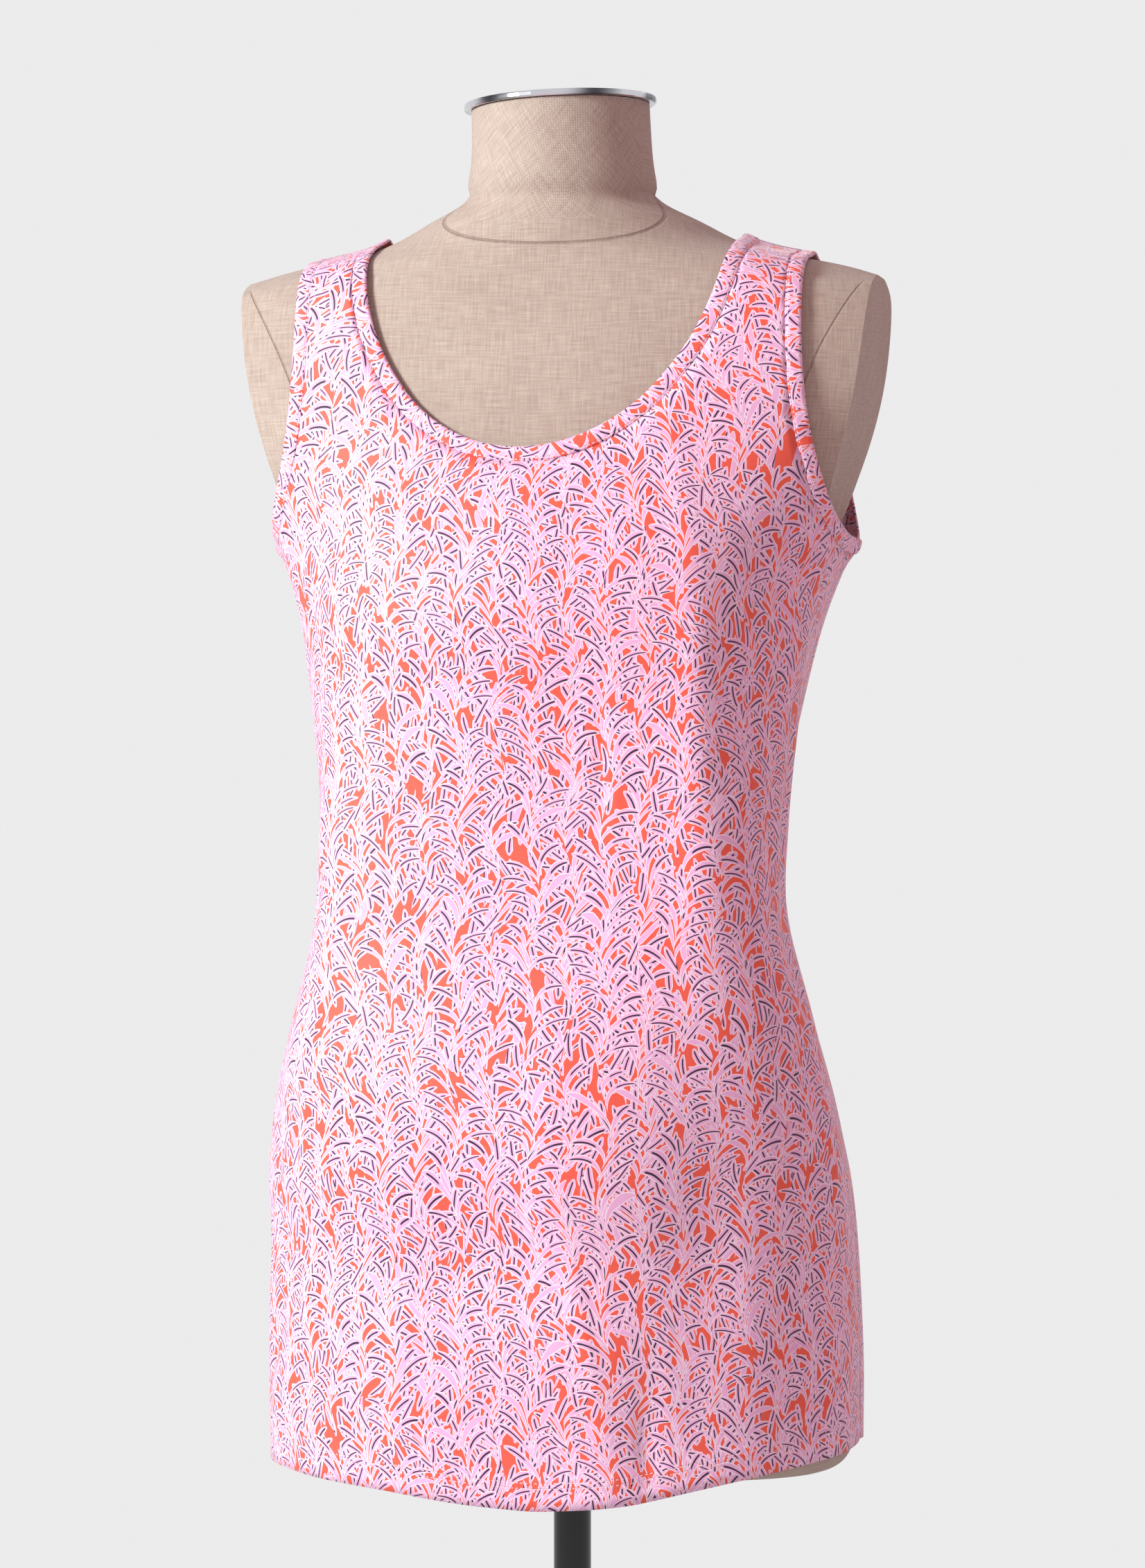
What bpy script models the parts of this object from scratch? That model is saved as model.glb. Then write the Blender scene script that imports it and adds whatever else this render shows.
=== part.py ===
"""A sleeveless maternity top worn by a limbless dress form on a counter stand.

Metres, +Z up. The front faces -Y and the wearer's left is +X. The origin is the
middle of the stand's underside, on the pole's axis. The cloth is a front, a back,
a neck binding and two armhole bindings. All their points lie on one surface, made
of horizontal sections: rounded ellipses whose sizes the tables below give.
"""

import math

import bpy
import numpy as np
from mathutils import Matrix, Vector

# ------------------------------------------------------------------ driving sizes
DATUM = 0.270  # the level, above the counter, that the heights below start from
FORM_UNDER = 0.010  # the dress form's underside
FORM_TOP = 0.8015  # the neck's top
SEAM_Y = -0.020  # the side and shoulder seams' plane
GAP = 0.0003  # between pieces that meet

CLOTH = 0.0012  # the panels' wall
BINDING = 0.0020  # a binding's wall, which is a folded strip
BINDING_WIDTH = 0.009
INSETS = (BINDING_WIDTH - GAP, BINDING_WIDTH / 2, 0)  # a binding's lines of points
REST = 0.0026  # between the cloth and the form where it rests on it
REST_BLEND = 0.002  # how softly the cloth turns from hanging free to resting

ARMPIT = 0.551  # the armholes' lowest point
NECK_HALF = 0.105  # half the neck opening's width, on the shoulders
FRONT_NECK = 0.600  # its lowest point at the front
BACK_NECK = 0.664  # and at the back
NECK_SWING = 0.010  # the front scoop hangs this far to the wearer's right
STRAP_OUTER = 0.1475  # the straps' outer edges, from the centre line
ARMHOLE_CURVE = 3.3  # how late an armhole's edge turns out to the side seam

FORM_CORNER = 0.015  # rounding of the form's lower edge
SHOULDER = (0.690, 0.751)  # the heights between which the form narrows to its neck
PLATE_FROM = 0.548  # the flat armhole plates start here
FREE_CORNER = math.radians(70)  # where a ring's spacing changes if no plate cuts it
NECK_FROM = 0.751  # the neck's tilt starts here
NECK_ROLL = math.radians(2.5)  # the neck's top is higher on the wearer's left
NECK_NOD = math.radians(1.0)  # and dips to the front

CAP_RADIUS = 0.0562
CAP_THICKNESS = 0.0038
CAP_EDGE = 0.0011
POLE_RADIUS = 0.011
SOCKET_RADIUS = 0.030
SOCKET_NECK = 0.017
SOCKET_HEIGHT = 0.014
SOCKET_RIM = 0.0035
BASE_RADIUS = 0.165
BASE_THICKNESS = 0.012
BASE_EDGE = 0.004
BASE_CHAMFER = 0.001
BOSS_RADIUS = 0.020
BOSS_HEIGHT = 0.030
BOSS_EDGE = 0.002

# ------------------------------------------------------------------ mesh counts
ROWS = 23  # from the hem to the line below the straps
STRAP_ROWS = 9
NECK_COLUMNS = 7  # half the scoop's lower part
STRAP_COLUMNS = 3
ARM_COLUMNS = 5  # the armhole's lower part
SCOOP_TURN = math.radians(42)  # where the scoop's edge becomes the strap's side
ARM_TURN = 0.13  # the share of an armhole's height where its edge does
FORM_RING = (8, 3)  # points on a quarter ring: before and on the armhole plate
TORSO_RINGS = (0.050, PLATE_FROM, 15)  # first, last and how many
PLATE_RINGS = (0.553, 0.690, 9)
MORE_RINGS = (0.697, 0.785)
TURNED_STEPS = 48
POLE_STEPS = 32
DENSE = 160  # points of a curve that lengths are measured on
NORMAL_STEP = 0.0005
SHARP = math.radians(40)  # edges sharper than this are shaded sharp

# ------------------------------------------------------------------ tables
# The form's horizontal sections. widest_y is where the half width is reached.
FORM = {
    "height": (0.0100, 0.0700, 0.1500, 0.2130, 0.2780, 0.3430, 0.3760, 0.4410, 0.5060, 0.5480,
               0.5750, 0.6050, 0.6400, 0.6700, 0.6900, 0.7025, 0.7080, 0.7125, 0.7165, 0.7225,
               0.7325, 0.7445, 0.7510, 0.7680, 0.8015),
    "half_width": (0.1680, 0.1685, 0.1650, 0.1530, 0.1310, 0.1180, 0.1200, 0.1320, 0.1460,
                   0.1560, 0.1760, 0.2060, 0.2350, 0.2480, 0.2350, 0.1900, 0.1700, 0.1480,
                   0.1250, 0.1050, 0.0860, 0.0680, 0.0570, 0.0530, 0.0520),
    "front_y": (-0.1250, -0.1280, -0.1280, -0.1220, -0.1110, -0.1000, -0.0990, -0.1130,
                -0.1425, -0.1350, -0.1250, -0.1145, -0.1070, -0.1010, -0.0975, -0.0955,
                -0.0948, -0.0942, -0.0938, -0.0932, -0.0926, -0.0920, -0.0915, -0.0910,
                -0.0930),
    "widest_y": (-0.0200, -0.0200, -0.0200, -0.0200, -0.0200, -0.0200, -0.0200, -0.0200,
                 -0.0200, -0.0200, -0.0200, -0.0200, -0.0200, -0.0200, -0.0200, -0.0200,
                 -0.0200, -0.0200, -0.0200, -0.0200, -0.0200, -0.0260, -0.0330, -0.0370,
                 -0.0400),
    "back_y": (0.0950, 0.1040, 0.1120, 0.1080, 0.0900, 0.0660, 0.0600, 0.0660, 0.0800, 0.0870,
               0.0910, 0.0920, 0.0900, 0.0850, 0.0790, 0.0735, 0.0700, 0.0670, 0.0640, 0.0580,
               0.0470, 0.0330, 0.0260, 0.0190, 0.0130),
    "squareness": (2.35, 2.35, 2.30, 2.25, 2.20, 2.15, 2.15, 2.20, 2.35, 2.30, 2.15, 2.00,
                   2.00, 2.00, 2.00, 2.00, 2.00, 2.00, 2.00, 2.00, 2.00, 2.00, 2.00, 2.00,
                   2.00),
}

# The flat plates at the form's armholes lean inward as they go down.
PLATE = {
    "height": (0.548, 0.575, 0.605, 0.640, 0.670, 0.704),
    "half_width": (0.1560, 0.1610, 0.1700, 0.1780, 0.1820, 0.1850),
}

# The top's ease: how far the cloth's inside stands off the form. forward is how
# far its widest line moves to the front, where the cloth hangs over the waist.
EASE = {
    "height": (-0.020, 0.000, 0.050, 0.098, 0.147, 0.180, 0.213, 0.245, 0.278, 0.311, 0.343,
               0.376, 0.409, 0.441, 0.474, 0.506, 0.530, 0.551, 0.575, 0.605, 0.660, 0.704,
               0.751),
    "side": (0.0042, 0.0042, 0.0045, 0.0035, 0.0040, 0.0075, 0.0100, 0.0145, 0.0180, 0.0165,
             0.0155, 0.0145, 0.0110, 0.0078, 0.0045, 0.0048, 0.0095, 0.0125, 0.0110, 0.0080,
             0.0060, 0.0075, 0.0050),
    "front": (0.0060, 0.0062, 0.0095, 0.0145, 0.0200, 0.0260, 0.0310, 0.0350, 0.0380, 0.0400,
              0.0400, 0.0385, 0.0340, 0.0255, 0.0110, 0.0024, 0.0020, 0.0020, 0.0022, 0.0028,
              0.0024, 0.0034, 0.0034),
    "back": (0.0060, 0.0055, 0.0040, 0.0030, 0.0026, 0.0032, 0.0060, 0.0120, 0.0190, 0.0250,
             0.0280, 0.0300, 0.0280, 0.0230, 0.0160, 0.0110, 0.0085, 0.0065, 0.0040, 0.0026,
             0.0030, 0.0048, 0.0048),
    "forward": (0.000, 0.000, 0.000, 0.006, 0.014, 0.026, 0.042, 0.056, 0.067, 0.078, 0.084,
                0.078, 0.064, 0.054, 0.042, 0.016, 0.005, 0.000, 0.000, 0.000, 0.000, 0.000,
                0.000),
}

# The hem's height at an angle round the top: 0 is the centre front, +90 the
# wearer's left side and 180 the centre back. It is higher on the left.
HEM = {
    "angle": (-180, -130, -90, -62, -42, -20, 0, 18, 30, 42, 65, 90, 130, 180),
    "height": (0.012, 0.015, 0.017, 0.009, 0.005, -0.002, -0.005, -0.003, 0.000, 0.007, 0.019,
               0.028, 0.022, 0.012),
}

# The cloth's largest folds, as soft ridges and, with a rise below zero, troughs.
# lean is how many degrees the fold's line turns in each metre of height.
FOLDS = {
    "angle": (41, -43, 74, 86, -76, -70, 32, 20, -30, 152, -150, 118, -116, 176),
    "height": (0.440, 0.400, 0.350, 0.350, 0.350, 0.085, 0.040, 0.030, 0.020, 0.350, 0.360,
               0.350, 0.360, 0.240),
    "half_height": (0.150, 0.120, 0.080, 0.070, 0.090, 0.050, 0.045, 0.050, 0.060, 0.110,
                    0.120, 0.060, 0.060, 0.100),
    "half_angle": (6.5, 8.0, 5.0, 5.0, 6.0, 6.0, 5.0, 6.0, 9.0, 8.0, 9.0, 8.0, 8.0, 10.0),
    "rise": (0.0035, 0.0020, 0.0035, -0.0025, 0.0030, 0.0020, -0.0030, 0.0020, 0.0020, 0.0060,
             0.0055, -0.0030, -0.0030, -0.0015),
    "lean": (-8, 6, 20, 20, -15, 60, -30, 0, 20, 15, -12, -20, 25, 0),
}

COLOURS = {  # base colour, roughness, metallic
    "knit": ((0.80, 0.42, 0.62), 0.75, 0.0),
    "binding": ((0.78, 0.38, 0.58), 0.75, 0.0),
    "linen": ((0.42, 0.30, 0.23), 0.85, 0.0),
    "steel": ((0.62, 0.63, 0.64), 0.22, 1.0),
    "black": ((0.02, 0.02, 0.022), 0.35, 0.6),
}


# ------------------------------------------------------------------ sections
def read(table, column, height):
    """A smooth curve through a table's column, with no overshoot between rows."""
    at = np.asarray(table["height"])
    value = np.asarray(table[column])
    step = np.diff(at)
    slope = np.diff(value) / step
    bend = np.zeros(len(value))
    agree = slope[:-1] * slope[1:] > 0
    bend[1:-1][agree] = 2 / (1 / slope[:-1][agree] + 1 / slope[1:][agree])
    height = np.clip(height, at[0], at[-1])
    row = np.clip(np.searchsorted(at, height) - 1, 0, len(step) - 1)
    share = (height - at[row]) / step[row]
    rest = 1 - share
    ends = value[row] * (1 + 2 * share) * rest**2 + value[row + 1] * (1 + 2 * rest) * share**2
    return ends + step[row] * share * rest * (bend[row] * rest - bend[row + 1] * share)


def form_section(height):
    """Half width, widest line, front and back of the form, and its squareness."""
    return [read(FORM, column, height)
            for column in ("half_width", "widest_y", "front_y", "back_y", "squareness")]


def cloth_section(height):
    """The same for the inside of the cloth: the form with the top's ease."""
    half, widest, front, back, square = form_section(height)
    return [half + read(EASE, "side", height), widest - read(EASE, "forward", height),
            front - read(EASE, "front", height), back + read(EASE, "back", height), square]


def half_ring(section, count=DENSE):
    """Points of a section's +X half, from the centre front to the centre back."""
    half, widest, front, back, square = section
    turn = np.linspace(0, math.pi, 2 * count + 1)
    across = half * np.abs(np.sin(turn)) ** (2 / square)
    reach = np.abs(np.cos(turn)) ** (2 / square)
    along = widest + np.where(turn < math.pi / 2, (front - widest) * reach,
                              (back - widest) * reach)
    return across, along


def cloth_half_ring(height):
    """A ring of the cloth, kept outside the form wherever the form would show."""
    across, along = half_ring(cloth_section(height))
    form_across, form_along = half_ring(form_section(height))
    form_turn = np.arctan2(form_across, SEAM_Y - form_along)
    turn = np.arctan2(across, SEAM_Y - along)
    least = np.interp(turn, form_turn, np.hypot(form_across, form_along - SEAM_Y)) + REST
    reach = np.hypot(across, along - SEAM_Y)
    kept = least + (reach - least + np.hypot(reach - least, REST_BLEND)) / 2
    return kept * np.sin(turn), SEAM_Y - kept * np.cos(turn)


def y_at(x, height, side):
    """Where the cloth's front or back surface is, at a width and a height."""
    half, widest, front, back, square = cloth_section(height)
    depth = (front if side == "front" else back) - widest
    inside = np.clip(1 - (abs(x) / half) ** square, 0, 1)
    y = widest + depth * inside ** (1 / square)
    edge = SEAM_Y - GAP / 2 if side == "front" else SEAM_Y + GAP / 2
    return min(y, edge) if side == "front" else max(y, edge)


def girth(height, side):
    """A quarter of the cloth from its centre line to the side seam: lengths and points."""
    across, along = cloth_half_ring(height)
    at_seam = np.interp(SEAM_Y, along, across)
    kept = along < SEAM_Y if side == "front" else along > SEAM_Y
    across, along = across[kept], along[kept]
    if side == "back":
        across, along = across[::-1], along[::-1]
    across, along = np.append(across, at_seam), np.append(along, SEAM_Y)
    steps = np.hypot(np.diff(across), np.diff(along))
    return np.concatenate([[0], np.cumsum(steps)]), across, along


def girth_point(height, share, side):
    """The point at a share of the way from the centre line to the side seam."""
    length, across, along = girth(height, side)
    at = share * (length[-1] - GAP / 2)
    return np.interp(at, length, across), np.interp(at, length, along)


def girth_share(x, height, side):
    """The share of that way at which the cloth is x from the centre line."""
    length, across, _ = girth(height, side)
    return np.interp(x, across, length) / length[-1]


def crest(x):
    """The shoulder's height at x, where the cloth turns over to the back."""
    heights = np.linspace(*SHOULDER, DENSE)
    return np.interp(-abs(x), -cloth_section(heights)[0], heights)


# ------------------------------------------------------------------ edges
def scoop_edge(turn, inset, side):
    """The neck opening's edge: a quarter ellipse from its lowest point upwards.

    turn runs from 0 at the centre to 90 degrees on the shoulder, and inset moves
    the line away from the opening. It gives x for both sides, and the height.
    """
    outer = NECK_HALF + inset
    low = (FRONT_NECK if side == "front" else BACK_NECK) - inset
    top = crest(outer)
    swing = NECK_SWING * math.cos(turn) if side == "front" else 0
    across = outer * math.sin(turn)
    return (-across - swing, across - swing), top - (top - low) * math.cos(turn)


def arm_edge(rise, inset):
    """An armhole's edge, at a share of its height, and inset from the opening."""
    outer = STRAP_OUTER - inset
    low = ARMPIT - inset
    flare = cloth_section(low)[0] - outer
    height = low + rise * (crest(outer) - low)
    return outer + flare * (1 - rise) ** ARMHOLE_CURVE, height


def evenly(curve, count):
    """Parameters that cut a curve of points into lengths that are all equal."""
    at = np.linspace(0, 1, DENSE) ** 2
    points = np.array([curve(value) for value in at])
    length = np.concatenate([[0], np.cumsum(np.linalg.norm(np.diff(points, axis=0), axis=1))])
    return np.interp(np.linspace(0, length[-1], count + 1), length, at)


def crest_steps(start, stop, count):
    """Steps from start to stop that close up at the end, where the cloth turns over."""
    return [stop - (stop - start) * (1 - step / count) ** 2 for step in range(count + 1)]


def scoop_turns():
    """Where the scoop's edge has its points: even below, closing up on the strap."""
    lower = np.linspace(0, SCOOP_TURN, NECK_COLUMNS + 1)
    rest = [math.acos(math.cos(SCOOP_TURN) * (1 - step / STRAP_ROWS) ** 2)
            for step in range(1, STRAP_ROWS + 1)]
    return list(lower), rest


def arm_rises(side):
    """Where an armhole's edge has its points, from the side seam upwards."""
    def on_cloth(share):
        x, height = arm_edge(share * ARM_TURN, 0)
        return x, y_at(x, height, side), height

    lower = evenly(on_cloth, ARM_COLUMNS) * ARM_TURN
    return list(lower), crest_steps(ARM_TURN, 1, STRAP_ROWS)[1:]


# ------------------------------------------------------------------ cloth points
def angle_of(x, y):
    """The angle round the top: 0 at the centre front, +90 at the wearer's left."""
    return math.degrees(math.atan2(x, SEAM_Y - y))


def fold_rise(angle, height):
    """How far the folds lift the cloth off its smooth surface."""
    total = 0
    for at, middle, tall, wide, rise, lean in zip(*(FOLDS[name] for name in (
            "angle", "height", "half_height", "half_angle", "rise", "lean"))):
        above = height - middle
        off = (angle - at - lean * above + 180) % 360 - 180
        total += rise * math.exp(-(off / wide) ** 2 - (above / tall) ** 2)
    return total


def place(x, y, height):
    """A point of the cloth, with its folds, in the part's frame."""
    out = Vector((x, y - SEAM_Y, 0)).normalized()
    lift = out * fold_rise(angle_of(x, y), height)
    return (x + lift.x, y + lift.y, DATUM + height)


def on_surface(x, height, side):
    """The cloth's point at x and a height, on its front or back."""
    return place(x, y_at(x, height, side), height)


def panel_points(side):
    """Rows of points for a panel's body, and for its two straps.

    Both are lists of rows. The body's rows run from the wearer's right side seam
    to the left one, and its top row follows the scoop, the line below the straps
    and the armholes. A strap's rows run from the scoop to the armhole.
    """
    turns_low, turns_up = scoop_turns()
    rises_low, rises_up = arm_rises(side)
    arm_low = [arm_edge(rise, BINDING_WIDTH) for rise in rises_low]
    halves = {}
    for sign in (-1, 1):
        pick = 0 if sign < 0 else 1
        neck_low = []
        for turn in turns_low:
            both, height = scoop_edge(turn, BINDING_WIDTH, side)
            neck_low.append((both[pick] * sign, height))
        start, end = neck_low[-1], arm_low[-1]
        under_strap = [tuple(a + (b - a) * step / STRAP_COLUMNS for a, b in zip(start, end))
                       for step in range(1, STRAP_COLUMNS)]
        top = neck_low + under_strap + arm_low[::-1]
        body = [column(x, height, sign, side) for x, height in top]
        inner = [scoop_edge(turn, BINDING_WIDTH, side) for turn in turns_up]
        inner = [(both[pick] * sign, height) for both, height in inner]
        outer = [arm_edge(rise, BINDING_WIDTH) for rise in rises_up]
        strap = [[strap_point(a, b, step / STRAP_COLUMNS, sign, side)
                  for step in range(STRAP_COLUMNS + 1)] for a, b in zip(inner, outer)]
        halves[sign] = (body, strap)
    columns = halves[-1][0][:0:-1] + halves[1][0]
    rows = [list(row) for row in zip(*columns)]
    return rows, halves[-1][1], halves[1][1]


def column(x_top, top, sign, side):
    """A panel's column of points from the hem up to its top boundary."""
    armpit = ARMPIT - BINDING_WIDTH
    share = 1 if top <= armpit else girth_share(abs(x_top), armpit, side)
    share = math.copysign(share, x_top)
    foot_x, foot_y = girth_point(0, abs(share), side)
    foot_x = math.copysign(foot_x, share) * sign
    foot = float(np.interp(angle_of(foot_x, foot_y), HEM["angle"], HEM["height"]))
    line = []
    for row in range(ROWS + 1):
        height = foot + (top - foot) * row / ROWS
        if height <= armpit:
            x, y = girth_point(height, abs(share), side)
            x = math.copysign(x, share)
        else:
            x, y = x_top, y_at(x_top, height, side)
        line.append(place(x * sign, y, height))
    return line


def strap_point(inner, outer, share, sign, side):
    """A strap's point between its two edges, at the same way below the crest."""
    x = inner[0] + (outer[0] - inner[0]) * share
    below_inner = crest(inner[0]) - inner[1]
    below_outer = crest(outer[0]) - outer[1]
    height = crest(x) - below_inner - (below_outer - below_inner) * share
    return on_surface(x * sign, height, side)


# ------------------------------------------------------------------ objects
def material(name):
    """A Principled material in one of the colours above."""
    finish = bpy.data.materials.get(name)
    if finish is None:
        colour, roughness, metallic = COLOURS[name]
        finish = bpy.data.materials.new(name)
        finish.use_nodes = True
        shader = finish.node_tree.nodes["Principled BSDF"]
        shader.inputs["Base Color"].default_value = (*colour, 1)
        shader.inputs["Roughness"].default_value = roughness
        shader.inputs["Metallic"].default_value = metallic
    return finish


def new_object(name, points, faces, finish):
    """An object from points and faces, smooth but for its sharp edges."""
    mesh = bpy.data.meshes.new(name)
    mesh.from_pydata(points, [], faces)
    mesh.validate()
    mesh.shade_smooth()
    mesh.set_sharp_from_angle(angle=SHARP)
    mesh.materials.append(material(finish))
    made = bpy.data.objects.new(name, mesh)
    bpy.data.collections["dress form with top"].objects.link(made)
    return made


def outward(point):
    """The smooth cloth's outward direction at a point, alike for every piece there."""
    def level(at):
        half, widest, front, back, square = cloth_section(at[2] - DATUM)
        depth = (front if at[1] < widest else back) - widest
        return (abs(at[0]) / half) ** square + abs((at[1] - widest) / depth) ** square

    slope = []
    for axis in range(3):
        step = np.zeros(3)
        step[axis] = NORMAL_STEP
        slope.append(level(point + step) - level(point - step))
    return np.array(slope) / np.linalg.norm(slope)


def walled(points, faces, wall):
    """A sheet's points and faces as a closed wall, which grows on its outer side.

    Neighbouring pieces share the direction that their walls grow in, so the gap
    at a seam stays as wide through the cloth.
    """
    count = len(points)
    outer = [tuple(point + wall * outward(point)) for point in map(np.array, points)]
    solid = [tuple(index + count for index in face) for face in faces]
    solid += [face[::-1] for face in faces]
    edges = {(face[step - 1], face[step]) for face in faces for step in range(len(face))}
    for start, end in sorted(edges):
        if (end, start) not in edges:
            solid.append((start, end, end + count, start + count))
    return points + outer, solid


def grid_faces(rows, columns, start=0, closed=False):
    """Quads between neighbouring rows of points."""
    faces = []
    for row in range(rows - 1):
        for step in range(columns if closed else columns - 1):
            a = start + row * columns + step
            b = start + row * columns + (step + 1) % columns
            faces.append((a, b, b + columns, a + columns))
    return faces


def panel(name, side):
    """The front or the back: a body and two straps that share its top row."""
    rows, right_strap, left_strap = panel_points(side)
    across = len(rows[0])
    middle = across // 2
    points = [point for row in rows for point in row]
    faces = grid_faces(len(rows), across)
    top = ROWS * across
    for strap, sign in ((right_strap, -1), (left_strap, 1)):
        below = [top + middle + sign * (NECK_COLUMNS + step) for step in range(STRAP_COLUMNS + 1)]
        for line in strap:
            start = len(points)
            points += line
            above = [start + step for step in range(STRAP_COLUMNS + 1)]
            for step in range(STRAP_COLUMNS):
                face = (below[step], below[step + 1], above[step + 1], above[step])
                faces.append(face if sign > 0 else face[::-1])
            below = above
    if side == "back":
        faces = [face[::-1] for face in faces]
    new_object(name, *walled(points, faces, CLOTH), "knit")


def strip(name, lines):
    """A binding: a closed strip through its lines of points."""
    count = len(lines[0])
    points = [point for line in lines for point in line]
    faces = grid_faces(len(lines), count, closed=True)
    new_object(name, *walled(points, faces, BINDING), "binding")


def neck_binding():
    """The folded strip round the neck opening."""
    lines = []
    for inset in INSETS:
        line = []
        for side, sign in (("front", 1), ("back", 1), ("back", -1), ("front", -1)):
            low, up = scoop_turns()
            turns = low + up
            if (side == "front") != (sign > 0):
                turns = turns[::-1]
            for turn in turns[:-1]:
                both, height = scoop_edge(turn, inset, side)
                x = both[1 if sign > 0 else 0]
                line.append(ring_point(x, height, side, turn == math.pi / 2))
        lines.append(line)
    strip("neck_binding", lines)


def ring_point(x, height, side, on_crest):
    """A binding's point, which lies on the seam's plane where it crosses the crest."""
    return place(x, SEAM_Y, height) if on_crest else on_surface(x, height, side)


def armhole_binding(name, sign):
    """The folded strip round one armhole."""
    lines = []
    for inset in INSETS:
        line = []
        for side in ("front", "back"):
            low, up = arm_rises(side)
            rises = low + up
            if side == "back":
                rises = rises[::-1]
            for rise in rises[:-1]:
                x, height = arm_edge(rise, inset)
                line.append(ring_point(x * sign, height, side, rise in (0, 1)))
        lines.append(line if sign < 0 else line[::-1])
    strip(name, lines)


def form_ring(height):
    """A closed ring of the form, with corners where an armhole plate cuts it."""
    half, widest, front, back, square = form_section(height)
    plate = read(PLATE, "half_width", height)
    cut = half > plate and height > PLATE_FROM
    limit = plate if cut else half
    corner = math.asin((plate / half) ** (square / 2)) if cut else FREE_CORNER
    before, on_plate = FORM_RING
    turns = [corner * step / before for step in range(before)]
    turns += [corner + (math.pi / 2 - corner) * step / on_plate for step in range(on_plate)]
    turns += [math.pi - turn for turn in [math.pi / 2] + turns[:0:-1]]
    turns.append(math.pi)
    below = max(0, FORM_UNDER + FORM_CORNER - height)
    inset = FORM_CORNER - math.sqrt(max(0, FORM_CORNER**2 - below**2))
    half_of_ring = []
    for turn in turns:
        reach = abs(math.cos(turn)) ** (2 / square)
        depth = (front if turn < math.pi / 2 else back) - widest
        shrink = 1 - inset / abs(depth)
        x = min(half * math.sin(turn) ** (2 / square), limit) * (1 - inset / half)
        half_of_ring.append((x, widest + depth * reach * shrink))
    return half_of_ring + [(-x, y) for x, y in half_of_ring[-2:0:-1]]


def form_heights():
    """Ring heights: close together at the rounded lower edge and on the shoulders."""
    corner = [FORM_UNDER + FORM_CORNER * (1 - math.cos(math.radians(at)))
              for at in (0, 30, 60, 90)]
    shoulder = [height for height in FORM["height"] if SHOULDER[0] < height]
    rings = [*np.linspace(*TORSO_RINGS), *np.linspace(*PLATE_RINGS), *MORE_RINGS, *shoulder]
    return corner + sorted(rings)


def neck_seat():
    """The middle of the neck's top: level, and tilted as the neck is."""
    middle = Matrix.Translation((0, read(FORM, "widest_y", FORM_TOP), DATUM + FORM_TOP))
    turn = Matrix.Rotation(-NECK_ROLL, 4, "Y") @ Matrix.Rotation(-NECK_NOD, 4, "X")
    return middle, middle @ turn


def form_body():
    """The torso and neck: a loft through the form's sections, closed at both ends."""
    points = []
    middle, seat = neck_seat()
    tilt = seat @ middle.inverted()
    heights = form_heights()
    for height in heights:
        share = max(0, (height - NECK_FROM) / (FORM_TOP - NECK_FROM))
        for x, y in form_ring(height):
            point = Vector((x, y, DATUM + height))
            points.append(point.lerp(tilt @ point, share))
    count = len(points) // len(heights)
    faces = grid_faces(len(heights), count, closed=True)
    faces.append(tuple(range(count))[::-1])
    faces.append(tuple(range(len(points) - count, len(points))))
    new_object("form_body", [tuple(point) for point in points], faces, "linen")


def turned(name, profile, finish, steps=TURNED_STEPS):
    """A turned piece: a profile of radius and height, from top to bottom."""
    points = [(radius, 0, height) for radius, height in profile]
    edges = [(step, step + 1) for step in range(len(points) - 1)]
    mesh = bpy.data.meshes.new(name)
    mesh.from_pydata(points, edges, [])
    mesh.materials.append(material(finish))
    made = bpy.data.objects.new(name, mesh)
    bpy.data.collections["dress form with top"].objects.link(made)
    screw = made.modifiers.new("turn", "SCREW")
    screw.steps = screw.render_steps = steps
    screw.use_merge_vertices = True
    screw.merge_threshold = 0.00001
    screw.use_smooth_shade = True
    return made


def rounded(radius, height, corner, start, end, count=3):
    """Points of a rounded profile corner, by the turn of its outward direction."""
    turns = np.radians(np.linspace(start, end, count + 1))
    return [(radius + corner * math.cos(turn), height + corner * math.sin(turn))
            for turn in turns]


def neck_cap():
    """The plate on the neck, tilted with it."""
    edge = CAP_RADIUS - CAP_EDGE
    profile = [(0, CAP_THICKNESS)]
    profile += rounded(edge, CAP_THICKNESS - CAP_EDGE, CAP_EDGE, 90, 0)
    profile += rounded(edge, CAP_EDGE, CAP_EDGE, 0, -90)
    profile.append((0, 0))
    made = turned("neck_cap", profile, "steel")
    made.matrix_world = neck_seat()[1] @ Matrix.Translation((0, 0, GAP))


def pole_socket():
    """The flanged ring under the form that the pole's top goes through."""
    top = DATUM + FORM_UNDER - GAP
    hole = POLE_RADIUS + GAP
    flange = top - SOCKET_RIM
    low = top - SOCKET_HEIGHT
    profile = [(hole, top), (SOCKET_RADIUS, top), (SOCKET_RADIUS, flange)]
    profile += [(SOCKET_NECK, flange), (SOCKET_NECK, low), (hole, low), (hole, top)]
    turned("pole_socket", profile, "black")


def pole():
    """The pole, from its seat in the base to the form's underside."""
    top = DATUM + FORM_UNDER - GAP
    profile = [(0, top), (POLE_RADIUS, top), (POLE_RADIUS, BASE_THICKNESS + GAP)]
    profile.append((0, BASE_THICKNESS + GAP))
    turned("pole", profile, "black", POLE_STEPS)


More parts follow.
